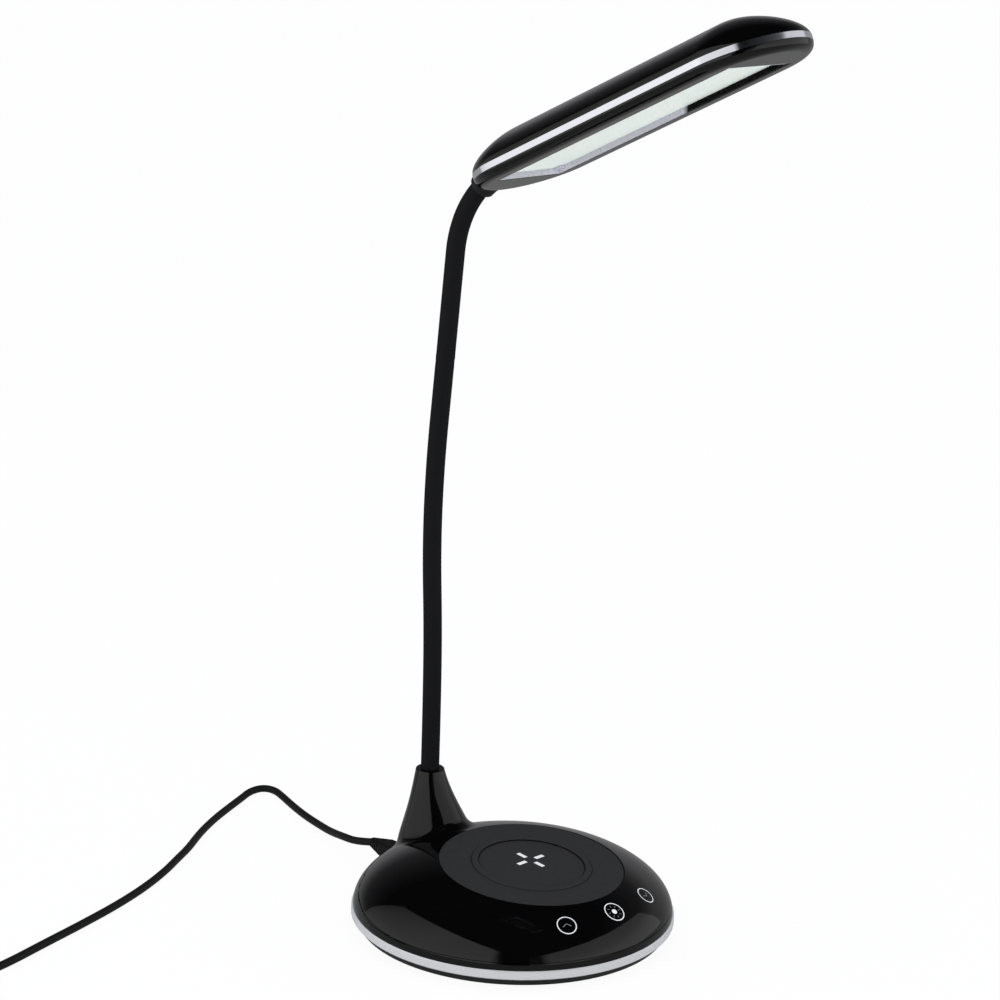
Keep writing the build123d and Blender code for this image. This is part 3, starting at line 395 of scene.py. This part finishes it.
finishPlans = {
    "shellBlack": dict(color=(0.0012, 0.0012, 0.0014), roughness=0.05, grain=420, bump=0.01, roughSpread=0.03,
                       shine=0.45),
    "panBlack": dict(color=(0.011, 0.011, 0.012), roughness=0.5, grain=3800, bump=0.12, shine=0.16),
    "padGrey": dict(color=(0.026, 0.026, 0.027), roughness=0.6, grain=6200, bump=0.2, tint=0.12, shine=0.3),
    "ringSilver": dict(color=(0.7, 0.705, 0.72), roughness=0.34, grain=5200, bump=0.05, metallic=0.3,
                       tint=0.03),
    "stripPlated": dict(color=(0.86, 0.87, 0.92), roughness=0.1, grain=500, bump=0.004, metallic=1.0,
                        roughSpread=0.02, tint=0.01),
    "footRubber": dict(color=(0.018, 0.018, 0.018), roughness=0.8, grain=5200, bump=0.3, shine=0.2),
    "siliconeBlack": dict(color=(0.0078, 0.0078, 0.0088), roughness=0.6, grain=5200, bump=0.16,
                          roughSpread=0.16, tint=0.25, shine=0.06),
    "leadBlack": dict(color=(0.009, 0.009, 0.0095), roughness=0.42, grain=2600, bump=0.08, shine=0.14),
    "plugBlack": dict(color=(0.0075, 0.0075, 0.008), roughness=0.5, grain=5200, bump=0.18, shine=0.12),
    "tieBlack": dict(color=(0.02, 0.02, 0.021), roughness=0.5, grain=5200, bump=0.2, shine=0.2),
    "diffuserWhite": dict(color=(0.92, 1.0, 0.92), roughness=0.42, grain=2600, bump=0.05, tint=0.012,
                          clear=0.1),
    "trayWhite": dict(color=(0.85, 0.85, 0.85), roughness=0.5, grain=2600, bump=0.05, tint=0.02),
    "steelZinc": dict(color=(0.5, 0.51, 0.53), roughness=0.3, grain=2600, bump=0.08, metallic=1.0,
                      stretch=(1, 1, 8)),
    "nickelShell": dict(color=(0.68, 0.66, 0.62), roughness=0.22, grain=2600, bump=0.03, metallic=1.0,
                        stretch=(1, 7, 7)),
    "conduitSteel": dict(color=(0.42, 0.42, 0.43), roughness=0.36, grain=1400, bump=0.3, metallic=1.0,
                         stretch=(1, 1, 6)),
    "copperWire": dict(color=(0.66, 0.3, 0.16), roughness=0.28, grain=2600, bump=0.2, metallic=1.0),
    "ferriteGrey": dict(color=(0.05, 0.05, 0.053), roughness=0.6, grain=4200, bump=0.25),
    "boardGreen": dict(color=(0.02, 0.13, 0.05), roughness=0.34, grain=700, bump=0.06, tint=0.3),
    "boardWhite": dict(color=(0.82, 0.82, 0.8), roughness=0.4, grain=1400, bump=0.05, tint=0.03),
    "chipBlack": dict(color=(0.02, 0.02, 0.02), roughness=0.45, grain=4200, bump=0.2),
    "contactFoam": dict(color=(0.1, 0.1, 0.1), roughness=0.9, grain=5200, bump=0.5),
    "phosphorYellow": dict(color=(0.85, 0.72, 0.3), roughness=0.5, grain=4200, bump=0.1),
    "markWhite": dict(color=(0.86, 0.87, 0.88), roughness=0.4, grain=2600, bump=0.02, tint=0.02),
    "markGrey": dict(color=(0.24, 0.24, 0.245), roughness=0.4, grain=2600, bump=0.02, tint=0.02),
    # painted shade: the black of the lines beside the pad's grip ring
    "shadeLineBlack": dict(color=(0.002, 0.002, 0.002), roughness=0.7, grain=5200, bump=0.1, shine=0.1),
    "frameSilver": dict(color=(0.72, 0.72, 0.78), roughness=0.3, grain=4200, bump=0.03, metallic=0.3,
                        tint=0.02),
}
finishes = {name: finish(name, **plan) for name, plan in finishPlans.items()}

paintedWallReflection = {  # painted reflection: the window frame's far wall is painted gloss black, its plating taken off, along its front half, for the dark reflection seen there
    "from": 72 * mm,
    "fade": 3 * mm,
    "side": 19 * mm,  # how far left of the middle the far wall starts
    "sideFade": 0.75 * mm,
    "color": (0.002, 0.002, 0.002, 1),
}


# painted reflection: turns the frame's far wall black and unplated along its front half
def paintWallReflection(material, plan, metallic):
    nodes, links = material.node_tree.nodes, material.node_tree.links
    shader = nodes["Principled BSDF"]
    silver = shader.inputs["Base Color"].links[0].from_socket
    where = addNode(nodes, "TexCoord")
    split = addNode(nodes, "SeparateXYZ")
    forward = addNode(nodes, "MapRange", {"From Min": plan["from"], "From Max": plan["from"] + plan["fade"]})
    left = addNode(nodes, "MapRange", {"From Min": plan["side"], "From Max": plan["side"] + plan["sideFade"]})
    reflectionMask = addNode(nodes, "Math")
    reflectionMask.operation = "MULTIPLY"
    shade = addNode(nodes, "MixRGB", {"Color2": plan["color"]})
    plating = addNode(nodes, "MapRange", {"To Min": metallic, "To Max": 0.0})
    links.new(where.outputs["Object"], split.inputs[0])
    links.new(split.outputs["X"], forward.inputs["Value"])
    links.new(split.outputs["Y"], left.inputs["Value"])
    links.new(forward.outputs[0], reflectionMask.inputs[0])
    links.new(left.outputs[0], reflectionMask.inputs[1])
    links.new(reflectionMask.outputs[0], shade.inputs["Fac"])
    links.new(silver, shade.inputs["Color1"])
    links.new(shade.outputs[0], shader.inputs["Base Color"])
    links.new(reflectionMask.outputs[0], plating.inputs["Value"])
    links.new(plating.outputs[0], shader.inputs["Metallic"])


# paints the dark reflection into the window frame's finish
paintWallReflection(finishes["frameSilver"], paintedWallReflection, finishPlans["frameSilver"]["metallic"])

nodeFinishes = {
    "shellBlack": ["base_cover", "base_rim", "head_cover", "head_bezel"],
    "panBlack": ["base_pan", "neck_collar", "coil_carrier"],
    "padGrey": ["charging_pad"],
    "ringSilver": ["trim_ring"],
    "stripPlated": ["head_strip"],
    "frameSilver": ["window_frame"],
    "footRubber": ["foot_pad"],
    "diffuserWhite": ["diffuser"],
    "trayWhite": ["light_tray"],
    "steelZinc": ["weight_plate", "cover_screws", "weight_screws", "carrier_screws", "board_screws",
                  "led_screws", "neck_nut", "neck_ferrule", "upper_ferrule"],
    "nickelShell": ["usb_socket", "plug_shell", "usb_a_shell"],
    "conduitSteel": [f"neck_core_{section}" for section in range(9)],
    "siliconeBlack": [f"neck_sleeve_{section}" for section in range(9)],
    "copperWire": ["charging_coil"],
    "ferriteGrey": ["coil_ferrite"],
    "boardGreen": ["main_board", "socket_board", "touch_board"],
    "boardWhite": ["led_board"],
    "chipBlack": ["board_parts"],
    "contactFoam": ["touch_contacts"],
    "phosphorYellow": ["led_chips"],
    "plugBlack": ["plug_body", "usb_a_body"],
    "leadBlack": ["lead_cable", "lead_coil", "lead_tail"],
    "tieBlack": ["coil_tie"],
}
for finishName, nodeNames in nodeFinishes.items():
    for nodeName in nodeNames:
        for slot in frame["nodes"][nodeName].material_slots:
            slot.material = finishes[finishName]
frame["nodes"]["diffuser"].visible_glossy = False  # keeps its patch out of the base's gloss
print("finishes made:", len(finishes))

# The neck's sleeve is one tube for each joint, and the tubes meet half way along the neck's sections.
sleevePlan = {
    "radius": 4.95 * mm,
    "wall": 1.2 * mm,
    "stubStart": 57.0 * mm,  # inside the cone's mouth
    "section": 45.6 * mm,
    "bend": 22.8 * mm,
    "tail": 4.4 * mm,
    "anchor": 4.0 * mm,  # how far it goes on into the head's collar
    "turns": [-1.0, -2.7, 4.8, 4.2, -0.2, 0.0, 23.9, 23.9, 11.3, 0.0],  # degrees in each run above the stub
    "segments": 48,
    "ringSpacing": 1.5 * mm,
    "zones": [8, 20, 20, 20, 20, 20, 9, 9],  # half of each joint's bending zone, in mm
    # these two list their ends from the upper body first
    "countedFromAbove": [4, 6],
}
creasePlan = {  # where the sleeve was pushed on
    "height": 293.0 * mm,
    "neckX": -62.6 * mm,  # the neck's middle there
    "size": 0.22 * mm,
    "spread": 1.6 * mm,
    "reach": 3,  # in spreads, as is the wave
    "wave": 1.6,
}
straight = 1e-5  # radians, under which a run doesn't turn
jointPlaces = {joint["name"]: Vector(joint["pos_m"]) for joint in frame["joints"] if "pos_m" in joint}
bodies = ["base"] + [f"neck_{section}" for section in range(1, 8)] + ["head"]


def along(lean):
    # the neck's direction where it leans that many degrees forward
    return Vector((sin(radians(lean)), 0, cos(radians(lean))))


def pointOnRun(start, lean, turn, length):
    # where an arc of that length and turn ends
    half = radians(turn / 2)
    chord = length if abs(half) < straight else length * sin(half) / half
    return start + along(lean + turn / 2) * chord


def neckRuns(plan, footJoint):
    # start, lean, turn and length of each stretch, the stub in the cone first
    lengths = [plan["section"]] * 6 + [plan["bend"]] * 2 + [plan["tail"], plan["anchor"]]
    stub = Vector((footJoint.x, 0, plan["stubStart"]))
    runs = [(stub, 0.0, 0.0, footJoint.z - plan["stubStart"])]
    start = footJoint.copy()
    lean = 0.0
    for length, turn in zip(lengths, plan["turns"]):
        runs.append((start, lean, turn, length))
        start = pointOnRun(start, lean, turn, length)
        lean += turn
    return runs


def growTube(bm, rings, run, share):
    # sweeps the rings along that share of a run
    start, lean, turn, length = run
    steps = max(2, round(length * share / sleevePlan["ringSpacing"]))
    turned = radians(turn * share)
    if abs(turned) < straight:
        stride = along(lean) * (length * share / steps)
        grown = bmesh.ops.spin(bm, geom=rings, cent=start, axis=(0, 1, 0), dvec=stride, angle=0, steps=steps)
    else:
        centre = start + along(lean + 90) * (length / radians(turn))
        grown = bmesh.ops.spin(bm, geom=rings, cent=centre, axis=(0, 1, 0), angle=turned, steps=steps)
    return [part for part in grown["geom_last"] if isinstance(part, bmesh.types.BMEdge)]


def pressCrease(bm, plan):
    for vertex in bm.verts:
        away = (vertex.co.z - plan["height"]) / plan["spread"]
        if abs(away) < plan["reach"]:
            side = 1 if vertex.co.x > plan["neckX"] else -1
            vertex.co.x += side * plan["size"] * sin(away * plan["wave"]) / (1 + away ** 2)


def sleeveMesh(plan, runs, joint):
    # a wall with two faces and closed ends, from half way along one run to half way along the next
    before, after = runs[joint], runs[joint + 1]
    skipped = 0.0 if joint == 0 else 0.5
    start, lean, turn, length = before
    place = pointOnRun(start, lean, turn * skipped, length * skipped)
    tilt = lean + turn * skipped
    stretches = [((place, tilt, turn, length), 1 - skipped)]
    if joint < len(plan["zones"]) - 1:
        stretches.append((after, 0.5))
    else:  # the last one goes all the way into the head
        stretches += [(run, 1.0) for run in runs[joint + 1:]]
    bm = bmesh.new()
    lay = Matrix.Translation(place) @ Matrix.Rotation(radians(tilt), 4, "Y")
    for radius in (plan["radius"], plan["radius"] - plan["wall"]):
        bmesh.ops.create_circle(bm, segments=plan["segments"], radius=radius, matrix=lay)
    rings = list(bm.edges)
    for run, share in stretches:
        rings = growTube(bm, rings, run, share)
    openEdges = [edge for edge in bm.edges if edge.is_boundary]
    lower = [edge for edge in openEdges if (edge.verts[0].co - place).length < 2 * plan["radius"]]
    upper = [edge for edge in openEdges if edge not in lower]
    bmesh.ops.bridge_loops(bm, edges=lower)
    bmesh.ops.bridge_loops(bm, edges=upper)
    return bm


def pullSleeves(plan):
    runs = neckRuns(plan, jointPlaces["neck_bend_0"])
    for joint, zone in enumerate(plan["zones"]):
        bm = sleeveMesh(plan, runs, joint)
        pressCrease(bm, creasePlan)
        sleeve = meshObject(f"neckSleeve{joint}", bm, [finishes["siliconeBlack"]])
        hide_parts(f"neck_sleeve_{joint + 1}")
        if joint == 0:
            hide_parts("neck_sleeve_0")
        pivot = jointPlaces[f"neck_bend_{joint}"]
        reach = along(runs[joint + 1][1]) * (zone * mm)
        ends = [(bodies[joint], tuple(pivot - reach)), (bodies[joint + 1], tuple(pivot + reach))]
        if joint in plan["countedFromAbove"]:
            ends.reverse()
        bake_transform(sleeve)


pullSleeves(sleevePlan)
print("sleeves made:", len(sleevePlan["zones"]))

# The printed marks, three touch marks on the dome and a cross on the pad, and the painted shade lines beside
# the pad's grip ring.
markPlan = {
    "touchMarks": {  # azimuth, distance from the middle in mm, size
        "raiseMark": (-23.8, 71.4, 0.92),
        "lightMark": (0.9, 70.4, 1.0),
        "lowerMark": (25.6, 72.0, 0.88),
    },
    "ringRadius": 5.4 * mm,
    "line": 0.56 * mm,
    "dot": 1.45 * mm,
    "rays": 8,
    "rayStart": 2.7 * mm,
    "rayLength": 1.2 * mm,
    "rayWidth": 0.308 * mm,
    "chevronHalf": 2.5 * mm,
    "chevronRise": 1.8 * mm,
    "chevronWidth": 0.392 * mm,
    "proud": 0.03 * mm,
    "drop": 6 * mm,  # how high above its place a mark starts when it is laid on a shell
}
padPlan = {
    "centre": (12.5, 0, 37.35),
    "lean": 4.6,  # degrees that the pad slopes down to the front
    "crossCentre": (9.0, 2.8, 37.5),
    "crossStart": 3.4 * mm,
    "crossLength": 6.0 * mm,
    "crossWidth": 2.4 * mm,
    "grooves": {"gripInnerShade": (27.8, 0.5), "gripOuterShade": (31.7, 0.25)},  # painted shade lines beside the grip ring, radius and width in mm
}


def addRing(bm, radius, width, segments=72):
    outer = bmesh.ops.create_circle(bm, segments=segments, radius=radius + width / 2)["verts"]
    inner = bmesh.ops.create_circle(bm, segments=segments, radius=radius - width / 2)["verts"]
    edges = {edge for vertex in outer + inner for edge in vertex.link_edges}
    bmesh.ops.bridge_loops(bm, edges=list(edges))


def addBar(bm, start, end, width):
    # a straight stroke in the flat, cut fine enough to follow the dome
    run = end - start
    grid = bmesh.ops.create_grid(bm, x_segments=6, y_segments=2, size=0.5)["verts"]
    bmesh.ops.scale(bm, vec=(run.length, width, 1), verts=grid)
    bmesh.ops.rotate(bm, cent=(0, 0, 0), matrix=run.to_track_quat("X", "Z").to_matrix(), verts=grid)
    bmesh.ops.translate(bm, vec=(start + end) / 2, verts=grid)
    return {face for vertex in grid for face in vertex.link_faces}


def shellTree(nodeName):
    bm = bmesh.new()
    bm.from_mesh(frame["nodes"][nodeName].data)
    tree = BVHTree.FromBMesh(bm)
    bm.free()
    return tree


def layOn(bm, tree, lay):
    # drops a flat drawing on a shell, a little proud of it
    down = -(lay.to_3x3() @ up)
    for vertex in bm.verts:
        high = lay @ vertex.co - down * markPlan["drop"]
        spot = tree.ray_cast(high, down)[0]
        vertex.co = spot - down * markPlan["proud"]


def fixToBase(name, bm, inks):
    mark = meshObject(name, bm, inks)
    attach(mark, "base")


def drawSun(bm, plan):
    bmesh.ops.create_circle(bm, cap_ends=True, cap_tris=True, segments=32, radius=plan["dot"])
    rays = set()
    for ray in range(plan["rays"]):
        outward = pointing(360 * ray / plan["rays"])
        far = outward * (plan["rayStart"] + plan["rayLength"])
        rays |= addBar(bm, outward * plan["rayStart"], far, plan["rayWidth"])
    return rays


def drawChevron(bm, plan, point):
    # points up for 1 and down for -1
    tip = Vector((0, point * plan["chevronRise"] / 2, 0))
    strokes = set()
    for side in (-1, 1):
        end = Vector((side * plan["chevronHalf"], 0, 0)) - tip
        strokes |= addBar(bm, tip, end, plan["chevronWidth"])
    return strokes


def touchMark(name, plan, domeTree):
    angle, reach, size = plan["touchMarks"][name]
    bm = bmesh.new()
    addRing(bm, plan["ringRadius"], plan["line"])
    if name == "lightMark":
        fainter = drawSun(bm, plan)
    else:
        fainter = drawChevron(bm, plan, 1 if name == "raiseMark" else -1)
    for face in fainter:
        face.material_index = 1
    outward = pointing(angle)
    spot, normal = domeTree.ray_cast(outward * (reach * mm) + up, -up)[:2]  # looks down from 1 m up
    leftward = up.cross(outward).normalized()
    uphill = normal.cross(leftward).normalized()
    if uphill.z < 0:
        uphill = -uphill
    lay = Matrix((uphill.cross(normal).normalized(), uphill, normal)).transposed().to_4x4()
    lay.translation = spot
    bmesh.ops.scale(bm, vec=(size, size, 1), verts=bm.verts)
    layOn(bm, domeTree, lay)
    fixToBase(name, bm, [finishes["markWhite"], finishes["markGrey"]])


def onPad(centre):
    # the pad's slope, at a place given in mm
    return Matrix.Translation(Vector(centre) * mm) @ Matrix.Rotation(radians(padPlan["lean"]), 4, "Y")


def padMarksAndShade(plan, padTree):
    bm = bmesh.new()
    for quarter in range(4):
        outward = pointing(90 * quarter)
        far = outward * (plan["crossStart"] + plan["crossLength"])
        addBar(bm, outward * plan["crossStart"], far, plan["crossWidth"])
    layOn(bm, padTree, onPad(plan["crossCentre"]))
    fixToBase("crossMark", bm, [finishes["markWhite"]])
    for name, (radius, width) in plan["grooves"].items():  # painted shade: a black line on each side of the grip ring, where its flanks show dark
        bm = bmesh.new()
        addRing(bm, radius * mm, width * mm, segments=160)
        layOn(bm, padTree, onPad(plan["centre"]))
        fixToBase(name, bm, [finishes["shadeLineBlack"]])


domeTree = shellTree("base_cover")
for name in markPlan["touchMarks"]:
    touchMark(name, markPlan, domeTree)
padMarksAndShade(padPlan, shellTree("charging_pad"))
print("marks laid")

# The USB lead comes out of the plug, lies along the desk and ends in a tied coil with its own plug.
leadPlan = {
    "diameter": 4.2 * mm,
    "length": 1.14,
    "route": [  # chosen one by one, in mm
        (-108.7, 0.0, 12.5),
        (-119.7, -1.6, 9.8),
        (-134.0, 0.8, 8.0),
        (-150.0, 6.6, 4.4),
        (-166.0, 11.8, 2.6),
        (-182.0, 15.8, 2.12),
        (-198.0, 20.6, 2.12),
        (-212.0, 25.6, 2.12),
        (-224.4, 29.6, 2.12),
        (-232.2, 26.6, 2.12),
        (-232.4, 17.0, 2.12),
        (-226.8, 5.4, 2.12),
        (-219.4, -11.2, 2.12),
        (-211.4, -28.0, 2.12),
        (-200.6, -47.0, 2.12),
        (-187.4, -66.0, 2.12),
        (-179.5, -80.0, 2.12),
        (-169.0, -98.0, 2.12),
        (-158.0, -122.0, 2.12),
        (-149.0, -148.0, 2.12),
        (-141.4, -176.0, 2.12),
        (-134.6, -204.0, 2.12),
        (-127.6, -231.0, 2.12),
        (-123.1, -256.0, 2.65),
    ],
    "coilCentre": (-148.0, -272.0),
    "coilRadius": 24.1,
    "lowLevel": 2.65,
    "lanes": [0, 1, 2, 2, 1, 0],  # how many diameters in from the outer turn
    "levels": [0, 0, 0, 1, 1, 1],
    "steps": 16,  # points in a turn
    "shift": 4,  # points over which a turn moves to the next lane
    "tail": [(-159.0, -296.6, 6.2), (-170.0, -297.9, 4.4), (-181.0, -298.5, 3.8)],
    "roundness": 5,  # bevel segments
    "smoothness": 10,  # curve steps between points
}


def coilPoints(plan):
    # five whole turns and a quarter, each beside or on the last
    pitch = plan["diameter"] / mm
    swell = 1 / cos(pi / plan["steps"])  # the curve runs inside its points
    lanes, levels = plan["lanes"], plan["levels"]
    points = []
    for turn in range(len(lanes) - 1):
        for step in range(plan["steps"]):
            late = max(0, step - plan["steps"] + plan["shift"]) / plan["shift"]
            lane = lanes[turn] * (1 - late) + lanes[turn + 1] * late
            level = levels[turn] * (1 - late) + levels[turn + 1] * late
            points.append((step, lane, level))
    for step in range(plan["steps"] // 4 + 1):
        points.append((step, lanes[-1], levels[-1]))
    placed = []
    for step, lane, level in points:
        angle = -2 * pi * step / plan["steps"]
        radius = (plan["coilRadius"] - lane * pitch) * swell
        x, y = plan["coilCentre"]
        placed.append((x + radius * cos(angle), y + radius * sin(angle), plan["lowLevel"] + level * pitch))
    return placed


def layLead(plan):
    points = plan["route"] + coilPoints(plan) + plan["tail"]
    curve = bpy.data.curves.new("usbLead", "CURVE")
    curve.dimensions = "3D"
    curve.bevel_depth = plan["diameter"] / 2
    curve.bevel_resolution = plan["roundness"]
    curve.resolution_u = plan["smoothness"]
    line = curve.splines.new("NURBS")
    line.points.add(len(points) - 1)
    for point, (x, y, z) in zip(line.points, points):
        point.co = (x * mm, y * mm, z * mm, 1)
    line.order_u = 3
    line.use_endpoint_u = True
    curve.materials.append(finishes["leadBlack"])
    usbLead = bpy.data.objects.new("usbLead", curve)
    scene.collection.objects.link(usbLead)
    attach(usbLead, "usb_lead")
    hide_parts("lead_cable", "lead_coil", "lead_tail")


layLead(leadPlan)
print("lead laid")
